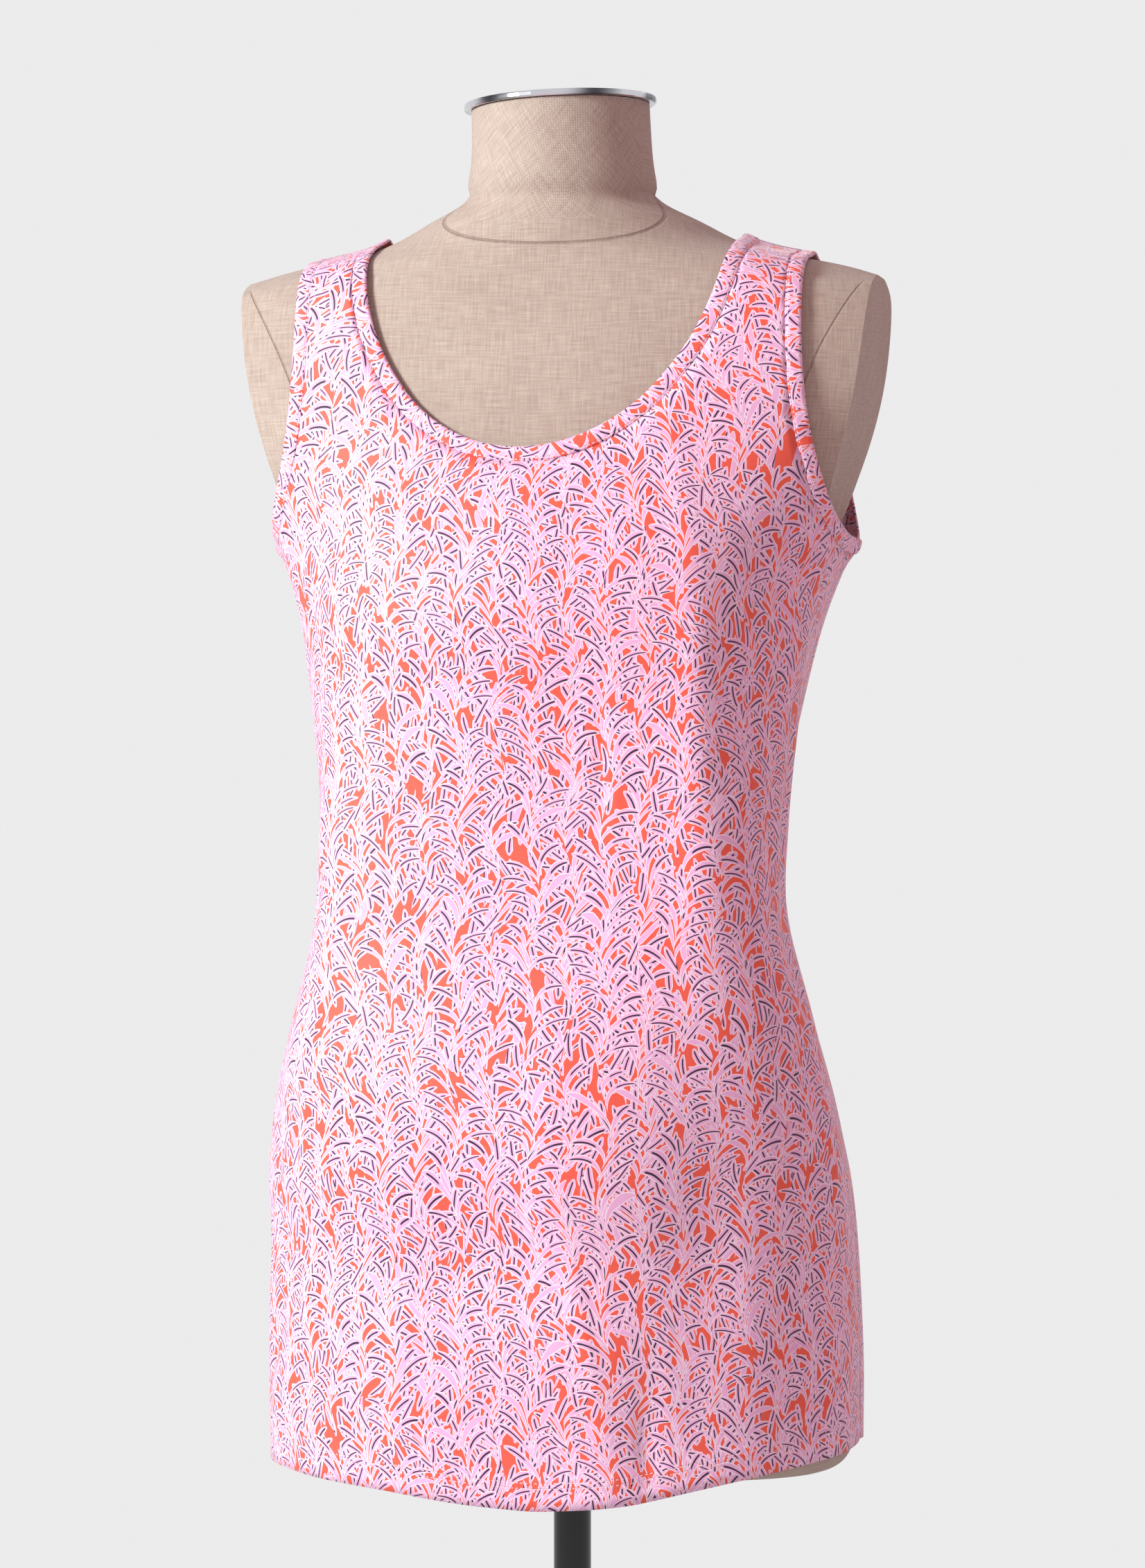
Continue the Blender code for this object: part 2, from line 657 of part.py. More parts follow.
def stand_base():
    """The round foot with the boss that holds the pole."""
    hole = POLE_RADIUS + GAP
    boss = BASE_THICKNESS + BOSS_HEIGHT
    profile = [(0, BASE_THICKNESS), (hole, BASE_THICKNESS), (hole, boss)]
    profile += rounded(BOSS_RADIUS - BOSS_EDGE, boss - BOSS_EDGE, BOSS_EDGE, 90, 0)
    profile.append((BOSS_RADIUS, BASE_THICKNESS))
    profile += rounded(BASE_RADIUS - BASE_EDGE, BASE_THICKNESS - BASE_EDGE, BASE_EDGE, 90, 0)
    profile += [(BASE_RADIUS, BASE_CHAMFER), (BASE_RADIUS - BASE_CHAMFER, 0), (0, 0)]
    turned("stand_base", profile, "black")


def main():
    for old in list(bpy.data.objects):
        bpy.data.objects.remove(old)
    bpy.context.scene.collection.children.link(bpy.data.collections.new("dress form with top"))
    panel("front_panel", "front")
    panel("back_panel", "back")
    neck_binding()
    armhole_binding("armhole_binding_right", -1)
    armhole_binding("armhole_binding_left", 1)
    form_body()
    neck_cap()
    pole_socket()
    pole()
    stand_base()


main()
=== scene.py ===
# %% [markdown]
# # A sleeveless maternity top on a dress form
#
# The solids of the top and of its dress form come from the CAD model. They have
# the true sizes and the large folds, but they are plain. In this lesson each of
# them gets its look: a printed jersey with sewn edges, a coarse linen torso, a
# polished neck plate and a black stand. We load the solids first.

# %% Load the solids
import math

import bmesh
import bpy
import numpy as np
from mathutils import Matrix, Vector, noise
from mathutils.kdtree import KDTree


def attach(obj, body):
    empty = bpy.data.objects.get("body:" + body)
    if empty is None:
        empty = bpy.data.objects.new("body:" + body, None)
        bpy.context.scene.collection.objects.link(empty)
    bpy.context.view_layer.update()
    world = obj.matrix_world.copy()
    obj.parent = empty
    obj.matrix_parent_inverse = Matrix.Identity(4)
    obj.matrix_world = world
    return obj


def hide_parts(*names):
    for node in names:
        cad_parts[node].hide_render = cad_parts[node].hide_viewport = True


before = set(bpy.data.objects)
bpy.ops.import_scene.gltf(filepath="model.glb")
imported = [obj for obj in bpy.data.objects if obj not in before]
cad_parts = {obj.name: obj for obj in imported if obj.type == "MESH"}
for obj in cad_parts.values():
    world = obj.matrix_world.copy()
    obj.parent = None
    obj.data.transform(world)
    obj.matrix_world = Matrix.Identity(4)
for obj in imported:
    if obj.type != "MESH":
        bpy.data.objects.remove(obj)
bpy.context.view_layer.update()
bpy.ops.object.select_all(action="DESELECT")
print("solids:", ", ".join(sorted(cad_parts)))

# %% [markdown]
# ## The camera and the studio
#
# The picture was taken from 3.5 metres, 10 degrees to the wearer's left, with a
# long lens held level. A long lens keeps the top's sides nearly parallel. The
# camera's place is worked out from those numbers, so that each can be changed
# alone.

# %% Camera
VIEW_TURN = math.radians(10)
VIEW_DISTANCE = 3.5
VIEW_HEIGHT = 0.678
LENS = 136.4

bpy.ops.object.camera_add(
    location=(VIEW_DISTANCE * math.sin(VIEW_TURN), -VIEW_DISTANCE * math.cos(VIEW_TURN),
              VIEW_HEIGHT),
    rotation=(math.radians(90), 0, VIEW_TURN))
camera = bpy.context.object
camera.name = "camera"
camera.data.lens = LENS
bpy.context.scene.camera = camera
bpy.context.scene.view_settings.view_transform = "Standard"
print("camera at", [round(value, 3) for value in camera.location])

# %% [markdown]
# A studio has a pale floor and a pale surround. One large soft lamp stands to
# the left of the camera, a little above the top, and the surround fills the
# shade. The surround looks nearly white to the camera and in the steel, but it
# lights the piece with less than that, so the side away from the lamp stays in
# shade, and the warm cloth makes that shade a little pink.

# %% Floor
FLOOR_RADIUS = 1.45  # the camera looks past its edge
FLOOR_COLOUR = (0.67, 0.70, 0.70, 1)

bpy.ops.mesh.primitive_circle_add(vertices=96, radius=FLOOR_RADIUS, fill_type="NGON")
floor = bpy.context.object
floor.name = "floor"
floor_paint = bpy.data.materials.new("pale floor")
floor_paint.use_nodes = True
floor_shader = floor_paint.node_tree.nodes["Principled BSDF"]
floor_shader.inputs["Base Color"].default_value = FLOOR_COLOUR
floor_shader.inputs["Roughness"].default_value = 0.9
floor.data.materials.append(floor_paint)
print("floor:", 2 * FLOOR_RADIUS, "m across")

# %% Surround
SEEN = (0.845, 0.835, 0.845, 1)  # how it looks
FILL = (1.0, 0.71, 0.75, 1)  # the light it gives
FILL_STRENGTH = 0.52

surround = bpy.data.worlds.new("surround")
surround.use_nodes = True
sky = surround.node_tree
light = sky.nodes["Background"]
light.inputs["Color"].default_value = FILL
light.inputs["Strength"].default_value = FILL_STRENGTH
look = sky.nodes.new("ShaderNodeBackground")
look.inputs["Color"].default_value = SEEN
ray = sky.nodes.new("ShaderNodeLightPath")
both = sky.nodes.new("ShaderNodeMixShader")
sky.links.new(ray.outputs["Is Diffuse Ray"], both.inputs[0])
sky.links.new(look.outputs[0], both.inputs[1])
sky.links.new(light.outputs[0], both.inputs[2])
sky.links.new(both.outputs[0], sky.nodes["World Output"].inputs["Surface"])
bpy.context.scene.world = surround
print("surround:", len(sky.nodes), "nodes")


# %% Lamps
def lamp(name, place, aim, size, power, colour=(1, 1, 1)):
    """A soft square lamp that points at a spot."""
    bpy.ops.object.light_add(type="AREA", location=place)
    made = bpy.context.object
    made.name = name
    made.data.size = size
    made.data.energy = power
    made.data.color = colour
    made.rotation_euler = (Vector(aim) - Vector(place)).to_track_quat("-Z", "Y").to_euler()


lamp("key lamp", (-2.12, -1.92, 1.68), (0, 0, 0.7), 0.75, 114, (0.88, 1.0, 0.985))
lamp("back lamp", (1.6, 2.4, 1.9), (0, 0, 0.8), 1.2, 2)

# %% [markdown]
# ## Sums in shaders
#
# A pattern is a long sum on a point's place. Blender adds with Math nodes, and a
# hundred of them are hard to follow. This class holds one output of a node, and
# Python's own signs add the nodes, so a pattern reads as ordinary sums.

# %% A class for node sums
class Flow:
    """One output of a node in a material."""

    def __init__(self, finish, socket):
        self.finish, self.socket = finish, socket

    def sum(self, operation, *others):
        values = dict(enumerate((self, *others)))
        return self.finish.add("ShaderNodeMath", {"operation": operation}, values)

    def __add__(self, other):
        return self.sum("ADD", other)

    def __sub__(self, other):
        return self.sum("SUBTRACT", other)

    def __mul__(self, other):
        return self.sum("MULTIPLY", other)

    def __truediv__(self, other):
        return self.sum("DIVIDE", other)

    def __pow__(self, other):
        return self.sum("POWER", other)

    def __lt__(self, other):
        return self.sum("LESS_THAN", other)

    def __gt__(self, other):
        return self.sum("GREATER_THAN", other)

    def __rsub__(self, other):
        return self.finish.add("ShaderNodeMath", {"operation": "SUBTRACT"}, {0: other, 1: self})

    __radd__ = __add__
    __rmul__ = __mul__

    def ramp(self, start, end):
        """0 below start, 1 above end, and soft between them. End may be the lower."""
        return self.finish.add(
            "ShaderNodeMapRange", {"interpolation_type": "SMOOTHSTEP"},
            {"Value": self, "From Min": start, "From Max": end})


print("a flow can:", ", ".join(name.strip("_") for name, value in vars(Flow).items()
                               if callable(value)))


# %% A class for materials
class Finish:
    """A material that is made up from sums."""

    def __init__(self, name, **fixed):
        self.material = bpy.data.materials.new(name)
        self.material.use_nodes = True
        self.tree = self.material.node_tree
        self.shader = self.tree.nodes["Principled BSDF"]
        for socket, value in fixed.items():
            self.shader.inputs[socket.replace("_", " ")].default_value = value

    def add(self, kind, settings, values, out=0):
        """A node, with its settings made first and then its sockets filled."""
        node = self.tree.nodes.new(kind)
        for name, value in settings.items():
            setattr(node, name, value)
        for name, value in values.items():
            self.fill(node.inputs[name], value)
        return Flow(self, node.outputs[out])

    def fill(self, socket, value):
        """Links a socket to a sum, or sets it to a plain value."""
        if isinstance(value, Flow):
            self.tree.links.new(value.socket, socket)
        else:
            socket.default_value = value

    def feed(self, name, value):
        self.fill(self.shader.inputs[name], value)

    def split(self, vector):
        node = self.add("ShaderNodeSeparateXYZ", {}, {0: vector}).socket.node
        return [Flow(self, socket) for socket in node.outputs]

    def join(self, x, y, z=0.0):
        return self.add("ShaderNodeCombineXYZ", {}, {0: x, 1: y, 2: z})

    def blend(self, mask, under, over):
        """One colour laid over another where the mask is 1."""
        return self.add("ShaderNodeMix", {"data_type": "RGBA"}, {0: mask, 6: under, 7: over}, 2)

    def chance(self, *seeds):
        """Three even random numbers for a cell."""
        seeds = self.join(*seeds)
        noise = self.add("ShaderNodeTexWhiteNoise", {"noise_dimensions": "3D"},
                         {"Vector": seeds}, "Color")
        return self.split(noise)

    def streaks(self, across, up, waves):
        """Noise with its own number of waves to a metre, across and up."""
        return self.noise(self.join(across * waves[0], up * waves[1]), 1.0, 2)

    def noise(self, vector, scale, detail):
        return self.add("ShaderNodeTexNoise", {"noise_dimensions": "3D"},
                        {"Vector": vector, "Scale": scale, "Detail": detail})

    def bump(self, height, distance, strength):
        self.feed("Normal", self.add("ShaderNodeBump", {},
                                     {"Height": height, "Distance": distance,
                                      "Strength": strength}))


print("a finish can:", ", ".join(name.strip("_") for name, value in vars(Finish).items()
                                 if callable(value)))


# %% Colours
def rgb(red, green, blue):
    """A colour given as it looks on a screen, from 0 to 255."""
    shown = [value / 255 for value in (red, green, blue)]
    return (*[value / 12.92 if value < 0.04045 else ((value + 0.055) / 1.055) ** 2.4
              for value in shown], 1)


print("a grey of 128 is", round(rgb(128, 128, 128)[0], 3), "in Blender's own numbers")

# %% [markdown]
# ## The print
#
# The jersey is printed with fronds: blades that leave upright stems on both
# sides and arch outwards, in pink with a pale edge and a plum line, over coral.
# Each layer repeats one small rule. A point finds its nearest stem, then the
# blade that passes it, then how far it is from that blade's middle. Chance
# changes each blade a little. Layers of different sizes hide the repeat. A
# painted image could be used too, but sums stay sharp at any size and need no
# file. The layout is this lesson's own. All sizes are in steps of 1.1 mm on the
# flat cloth.

# %% Print colours and how a blade is inked
PINK = rgb(242, 179, 220)
PALE = rgb(253, 229, 243)
PLUM = rgb(40, 6, 40)
CORAL = rgb(243, 92, 72)
PRINT_STEP = 0.0011  # metres in one step of the print
SOFT = 0.08  # half the width of an ink edge
EDGE = 0.38  # the pale edge of a blade
VEIN = 0.38  # half the plum line
UNLINED = 0.06  # the share of blades without a plum line


def stem_near(across, up, spacing, first, sway, sway_length):
    """The number of the nearest stem, the side of it, and how far it is."""
    from_first = across - first - (up * (2 * math.pi / sway_length)).sum("SINE") * sway
    stem = (from_first / spacing + 0.5).sum("FLOOR")
    off = from_first - stem * spacing
    return stem, off.sum("SIGN"), off.sum("ABSOLUTE")


def kept_within(flow):
    """A sum that is cut off below 0 and above 1."""
    return flow.sum("MAXIMUM", 0.0).sum("MINIMUM", 1.0)


def inked(finish, under, away, half, there, line):
    """A blade in its three inks, where a point is away from its middle line."""
    colour = finish.blend((away - half).ramp(EDGE + SOFT, EDGE - SOFT) * there, under, PALE)
    colour = finish.blend((away - half).ramp(SOFT, -SOFT) * there, colour, PINK)
    return finish.blend(line * there, colour, PLUM)


print("the print's inks:", *[[round(value, 2) for value in ink[:3]]
                             for ink in (PINK, PALE, PLUM, CORAL)])

# %% Blades that leave a stem
FAN = 0.28  # how much steeper and flatter the blades become along a stem
FAN_LENGTH = 112  # from one steep place to the next
FAN_SHIFT = (1.3, 2.1)  # how each side and each stem shifts the steep places
OUT_OF_STEP = 0.27  # how far the blades on a stem's two sides are from level, in pitches
SHORTEST = 0.62  # the shortest blade that leaves a stem, as a share of the longest
THIN_SHIFT = (1.57, 2.4)  # how each side and each stem shifts the thin places
BROADENS, NARROWS = 1.8, 2.6  # how fast a blade broadens at its root and narrows at its tip
LINE_START = (0.19, 0.25)  # a plum line fades in here, as shares of its blade
LINE_END = (0.95, 0.89)


def fronds(finish, under, across, up, stems, blades, seed):
    """A layer of blades that leave their stems and arch outwards."""
    spacing, first, step, sway, sway_length = stems
    pitch, rise, reach, droop, width, kept, grouped, group_length = blades
    stem, side, off = stem_near(across, up, spacing, first, sway, sway_length)
    out = off / reach
    level = up - stem.sum("FLOORED_MODULO", 2.0) * step
    turn = level * (2 * math.pi / FAN_LENGTH) + side * FAN_SHIFT[0] + stem * FAN_SHIFT[1]
    turn = turn.sum("SINE")
    climb = (turn * FAN + 1) * rise
    root = (out + 0.02).sum("SQRT")
    slope = (climb / root * 0.5 - out * (2 * droop)) / reach
    lean = (slope * slope + 1).sum("SQRT")
    count = level + side * (pitch * OUT_OF_STEP) - climb * root + out * out * droop
    count = count / pitch
    blade = count.sum("FLOOR")
    one, two, three = finish.chance(blade, stem * 3 + side, seed)
    middle = (count - blade - 0.5 + (one - 0.5) * 0.3) * pitch
    along = out / (two * (1 - SHORTEST) + SHORTEST)
    taper = kept_within(along * BROADENS) ** 0.6 * kept_within((1 - along) * NARROWS) ** 0.7
    half = taper * (three * 0.4 + 0.8) * (width / 2)
    group = (blade * (pitch * 2 * math.pi / group_length) + side * THIN_SHIFT[0]
             + stem * THIN_SHIFT[1]).sum("SINE")
    there = (along < 1.0) * (two * 0.37 + three * 0.63 < group * grouped + kept)
    line = (((middle + (two - 0.5) * 0.8).sum("ABSOLUTE") / lean).ramp(VEIN + SOFT, VEIN - SOFT)
            * (along - one * 0.2).ramp(*LINE_START) * (along + three * 0.12).ramp(*LINE_END)
            * (half > 0.35) * (one > UNLINED))
    return inked(finish, under, middle.sum("ABSOLUTE") / lean, half, there, line)


print("blades fan out every", round(FAN_LENGTH * PRINT_STEP, 3), "m along a stem")


# %% Loose blades
def loose_blades(finish, under, across, up, stems, blades, seed):
    """A layer of nearly straight blades, at one angle to their stems."""
    spacing, first, step, sway, sway_length = stems
    angle, length, row, width, kept = blades
    stem, side, off = stem_near(across, up, spacing, first, sway, sway_length)
    level = up - stem.sum("FLOORED_MODULO", 2.0) * step + side * (row * 0.31)
    sine, cosine = math.sin(math.radians(angle)), math.cos(math.radians(angle))
    along = (off * cosine + level * sine) / length
    beside = (level * cosine - off * sine) / row
    row_number = beside.sum("FLOOR")
    along = along + finish.chance(row_number, stem * 2 + side, seed + 0.5)[0]
    number = along.sum("FLOOR")
    one, two, three = finish.chance(number + row_number * 7, stem * 3 + side, seed)
    share = (along - number - 0.5) * 2 / (one * 0.28 + 0.72)
    bend = (three - 0.5) * share * share * 1.8 + (two - 0.5) * share * 1.6
    away = ((beside - row_number - 0.5) * row + (two - 0.5) * (row - width - 0.6)
            + bend).sum("ABSOLUTE")
    half = kept_within((1 - share.sum("ABSOLUTE")) * 2) ** 0.7 * (three * 0.4 + 0.8) * (width / 2)
    there = (share.sum("ABSOLUTE") < 1.0) * (one * 0.5 + three * 0.5 < kept)
    line = (away.ramp(VEIN + SOFT, VEIN - SOFT) * (two > UNLINED)
            * (share + (two - 0.5) * 0.1).sum("ABSOLUTE").ramp(0.78, 0.70))
    return inked(finish, under, away, half, there, line)


print("blades without a line:", f"{UNLINED:.0%}")

# %% The whole print
# Each row is a layer, from the back to the front: its kind, its stems, its blades
# and the seed of its chances. Stems: spacing, the first one, the step from one to
# the next, and how far and how often they sway. Fronds: pitch, rise, reach, droop,
# blade width, share kept, and how strongly and how often they thin out. Loose
# blades: angle, length, width of a row, blade width and share kept.
LAYERS = (
    (loose_blades, (19, 10, 7, 3, 61), (80, 19, 5.2, 2.9, 0.67), 1),
    (loose_blades, (38, 29, 9, 3, 61), (106, 17, 6.0, 2.9, 0.48), 5),
    (fronds, (38, 19, 27, 3, 61), (7.2, 24, 19, 6, 3.0, 0.71, 0.12, 50), 11),
    (loose_blades, (38, 19, 11, 3, 61), (48, 19, 8.4, 3.0, 0.38), 7),
    (loose_blades, (38, 0, 14, 3, 61), (66, 20, 7.8, 3.0, 0.40), 9),
    (fronds, (38, 0, 0, 3, 61), (7.6, 25, 20, 8, 3.2, 0.68, 0.14, 57), 13),
)


def frond_print(finish, across, up):
    """The print's colour at a place on the flat cloth, in steps of the print."""
    colour = CORAL
    for layer, stems, blades, seed in LAYERS:
        colour = layer(finish, colour, across, up, stems, blades, seed)
    return colour


print("layers of the print:", len(LAYERS))

# %% [markdown]
# ## Jersey
#
# The cloth is a fine matte knit, sewn with pale thread. The stitches are too
# small to model, so they are painted where the hem's and the bindings' own
# measures say, and a bump puckers the cloth beside them and adds the knit's grain.

# %% Jersey with its stitches
HEM_ROWS = (0.0128, 0.0160)  # the twin rows of stitches, above the hem's edge
STRIP_ROW = 0.84  # the row on a binding, as a share of its width
STITCH = 0.0028  # from one stitch to the next
THREAD = rgb(252, 214, 228)
THREAD_EDGES = (0.00045, 0.0002)  # a row of stitches fades between these, from its middle
STRIP_EDGES = (0.045, 0.020)  # the same on a binding, as shares of its width
HEM_REACH = 0.007  # how far from its rows the hem puckers
PUCKERS = (230, 60)  # waves to a metre, across and up
DRAWN = (40, 210)  # where a side seam draws the cloth
GRAIN = (2400, 700)


def jersey(name):
    """Printed jersey with its stitches, on a piece whose UV map is its flat cloth."""
    finish = Finish(name, Roughness=0.62, Sheen_Weight=0.25, Sheen_Roughness=0.4)
    flat = finish.add("ShaderNodeUVMap", {"uv_map": "flat"}, {})
    across, up, _ = finish.split(flat)
    colour = frond_print(finish, across / PRINT_STEP, up / PRINT_STEP)
    above, strip, side = [
        finish.add("ShaderNodeAttribute", {"attribute_name": kept}, {}, "Fac")
        for kept in ("above_hem", "across_strip", "near_side")]
    beat = (across * (2 * math.pi / STITCH)).sum("SINE").ramp(-0.5, 0.1)
    row = (strip - STRIP_ROW).sum("ABSOLUTE").ramp(*STRIP_EDGES)
    for height in HEM_ROWS:
        row = row + (above - height).sum("ABSOLUTE").ramp(*THREAD_EDGES)
    finish.feed("Base Color", finish.blend(row * beat * 0.75, colour, THREAD))
    hem = ((above - sum(HEM_ROWS) / 2) / HEM_REACH).sum("ABSOLUTE").ramp(1.0, 0.0)
    pucker = finish.streaks(across, up, PUCKERS)
    drawn = finish.streaks(across, up, DRAWN)
    grain = finish.streaks(across, up, GRAIN)
    height = (grain * 0.12 - row * (1 - beat * 0.5) * 0.5 + hem * pucker * 1.3
              + (strip > 0.01) * pucker * 0.5 + side * drawn * 2.2)
    finish.bump(height, 0.0007, 0.8)
    return finish.material


printed = jersey("printed jersey")
print("print nodes:", len(printed.node_tree.nodes))

# %% [markdown]
# ## Cloth from its solid
#
# The solid of a cloth piece is a wall with an outer and an inner side. The look
# needs only the outer side, as clean four-sided faces that can be subdivided. A
# copy is merged, its short rim faces and its inner side are deleted, and pairs
# of triangles become quads.

# %% Copies of the solids
def only(piece):
    """Makes a piece the only one that operators act on."""
    bpy.ops.object.select_all(action="DESELECT")
    piece.select_set(True)
    bpy.context.view_layer.objects.active = piece


def copied(node, name):
    """A merged copy of a CAD solid, as a new piece."""
    piece = bpy.data.objects.new(name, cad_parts[node].data.copy())
    bpy.context.collection.objects.link(piece)
    piece.data.materials.clear()
    only(piece)
    bpy.ops.object.mode_set(mode="EDIT")
    bpy.ops.mesh.select_all(action="SELECT")
    bpy.ops.mesh.remove_doubles(threshold=0.00001)
    bpy.ops.mesh.customdata_custom_splitnormals_clear()
    bpy.ops.object.mode_set(mode="OBJECT")
    return piece


cad_faces = sum(len(node.data.polygons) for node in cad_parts.values())
print("faces of the CAD model:", cad_faces)

# %% The outer side of a cloth solid
BODY_MIDDLE = -0.020  # the y of the side seams
SHOULDERS = 0.85  # above this height, outwards is also upwards
RIM = 0.0035  # edges shorter than this belong to a wall's rim


def outer_side(node, name):
    """The outer side of a cloth solid, in quads."""
    piece = copied(node, name)
    bpy.ops.object.mode_set(mode="EDIT")
    bpy.ops.mesh.select_mode(type="FACE")
    bpy.ops.mesh.select_all(action="DESELECT")
    bpy.ops.object.mode_set(mode="OBJECT")
    for face in piece.data.polygons:
        inside = Vector((0, BODY_MIDDLE, min(SHOULDERS, face.center.z)))
        outward = (face.center - inside).normalized()
        corners = [piece.data.vertices[index].co for index in face.vertices]
        shortest = min((corners[step] - corners[step - 1]).length for step in range(3))
        face.select = outward.dot(face.normal) < 0 or shortest < RIM
    bpy.ops.object.mode_set(mode="EDIT")
    bpy.ops.mesh.delete(type="FACE")
    bpy.ops.mesh.select_all(action="SELECT")
    bpy.ops.mesh.tris_convert_to_quads(face_threshold=math.radians(180),
                                       shape_threshold=math.radians(180))
    bpy.ops.object.mode_set(mode="OBJECT")
    quads = sum(len(face.vertices) == 4 for face in piece.data.polygons)
    print(f"{name}: {len(piece.data.polygons)} faces, {quads} of them quads")
    return piece


front = outer_side("front_panel", "front")
back = outer_side("back_panel", "back")

# %% [markdown]
# ## Flat cloth
#
# A print lies straight on the flat cloth, before it is sewn. So each piece is
# unwrapped with as little stretch as can be, scaled to metres, and turned until
# its grain is upright. The flat size also says how large a piece was cut.

# %% Points, corners and parts of a piece
def corners_of(piece):
    """Each face corner's vertex, the next corner of its face, and its face."""
    vertex = [loop.vertex_index for loop in piece.data.loops]
    following, face_of = [], []
    for face in piece.data.polygons:
        loops = list(face.loop_indices)
        following += loops[1:] + loops[:1]
        face_of += [face.index] * len(loops)
    return np.array(vertex), np.array(following), np.array(face_of)


def points_of(piece):
    """Each point's place, in metres."""
    return np.array([vertex.co for vertex in piece.data.vertices])


def flat_pieces(piece):
    """Numbers the parts that a piece's seams cut it into, one number for each face."""
    group = list(range(len(piece.data.polygons)))

    def first(index):
        while group[index] != index:
            group[index] = group[group[index]]
            index = group[index]
        return index

    cut = {edge.key for edge in piece.data.edges if edge.use_seam}
    met = {}
    for face in piece.data.polygons:
        for key in face.edge_keys:
            if key in met and key not in cut:
                group[first(face.index)] = first(met[key])
            met[key] = face.index
    return np.array([first(index) for index in range(len(group))])


print("corners of the front:", len(corners_of(front)[0]))


# %% Lay a piece flat
NEAR_MIDDLE = 0.004  # points this near the centre line show where its grain runs


def lay_flat(piece):
    """Unwraps a piece in metres with its grain upright, and gives its flat size."""
    only(piece)
    bpy.ops.object.mode_set(mode="EDIT")
    bpy.ops.mesh.select_all(action="SELECT")
    bpy.ops.uv.unwrap(method="MINIMUM_STRETCH")
    bpy.ops.object.mode_set(mode="OBJECT")
    layer = piece.data.uv_layers.active
    layer.name = "flat"
    vertex, following, face_of = corners_of(piece)
    place = points_of(piece)[vertex]
    flat = np.array([item.uv for item in layer.data])
    part_of = flat_pieces(piece)[face_of]
    for part in np.unique(part_of):
        here = part_of == part
        long = np.linalg.norm(place[following] - place, axis=1)[here].sum()
        short = np.linalg.norm(flat[following] - flat, axis=1)[here].sum()
        to_height = np.column_stack([flat[here], np.ones(here.sum())])
        slope = np.linalg.lstsq(to_height, place[here, 2], rcond=None)[0][:2]
        up = slope / (np.linalg.norm(slope) or 1)
        flat[here] = np.column_stack([flat[here] @ [up[1], -up[0]], flat[here] @ up])
        flat[here] *= long / max(short, 1e-6)
        middle = here & (np.abs(place[:, 0]) < NEAR_MIDDLE)
        centre = flat[middle if middle.any() else here, 0].mean()
        flat[here] -= (centre, flat[here, 1].min())
    for item, value in zip(layer.data, flat):
        item.uv = value
    width, length = np.ptp(flat, axis=0)
    ahead = flat[following]
    area = abs((flat[:, 0] * ahead[:, 1] - ahead[:, 0] * flat[:, 1]).sum()) / 2
    print(f"{piece.name}: cut {width:.3f} by {length:.3f} m, {area:.3f} square metres")
    return width, length, area


front_cut = lay_flat(front)
back_cut = lay_flat(back)

# %% [markdown]
# ## Folds
#
# The solids already hang in the garment's large folds. The jersey adds smaller
# ones: soft upright creases at the waist, slanting ones at the hips, and drags
# from the armholes. Each has one place in the rows of a table. A crease is a soft
# hill or trough whose line may lean, and it pushes the smooth surface out or in.
# A cloth simulation could find folds too, but these lie where the garment's do.

# %% Creases
CREASES = {  # angle round the body and width in degrees, heights in metres, rise in mm
    "angle": (41, 47, 19, 23, 34, 38, 64, 70, 80, -72, -62, 14, 31, 36, 52, 5, -20, -34, -48,
              -55, -79, 58, 66, -60, -68, 171, -168, 140, 158, -141, -160, 124, -126, 108, -110,
              180, 149, -152),
    "height": (0.720, 0.690, 0.693, 0.660, 0.622, 0.600, 0.640, 0.665, 0.610, 0.345, 0.360,
               0.375, 0.298, 0.330, 0.380, 0.480, 0.430, 0.350, 0.640, 0.560, 0.650, 0.800,
               0.770, 0.790, 0.760, 0.620, 0.605, 0.640, 0.590, 0.630, 0.580, 0.350, 0.365,
               0.640, 0.650, 0.360, 0.820, 0.810),
    "tall": (0.140, 0.110, 0.034, 0.030, 0.042, 0.034, 0.040, 0.050, 0.040, 0.030, 0.036,
             0.055, 0.022, 0.030, 0.060, 0.070, 0.080, 0.050, 0.070, 0.060, 0.060, 0.040,
             0.046, 0.040, 0.046, 0.030, 0.034, 0.050, 0.036, 0.052, 0.036, 0.060, 0.050,
             0.050, 0.060, 0.070, 0.050, 0.050),
    "wide": (2.6, 3.0, 1.3, 1.2, 1.5, 1.4, 2.2, 2.0, 2.4, 2.4, 2.2, 2.2, 2.2, 1.8, 3.0, 5.0,
             6.0, 4.0, 3.0, 3.5, 2.6, 2.4, 2.2, 2.4, 2.2, 4.0, 4.0, 3.0, 3.2, 3.0, 3.4, 3.0,
             3.0, 2.4, 2.4, 6.0, 3.0, 3.0),
    "rise": (1.3, -0.9, -0.7, 0.4, -0.6, 0.4, 1.5, -1.3, 1.2, -1.5, 1.1, 0.9, -1.5, 0.9, 0.7,
             0.7, -0.7, 0.9, 0.6, -0.6, 1.0, -0.8, 0.7, -0.8, 0.7, 1.2, -1.1, 1.2, -1.0, 1.1,
             -1.0, 1.0, -0.9, 1.0, -0.9, -0.8, 0.6, 0.6),
    "lean": (-8, -12, 5, 0, -30, -20, 60, 40, -30, 190, 150, -90, -40, -60, -50, 20, 30, 60,
             10, 20, -40, -220, -190, 220, 190, 160, -170, 60, 120, -60, -130, -80, 70, 40,
             -40, 0, 90, -90),
}
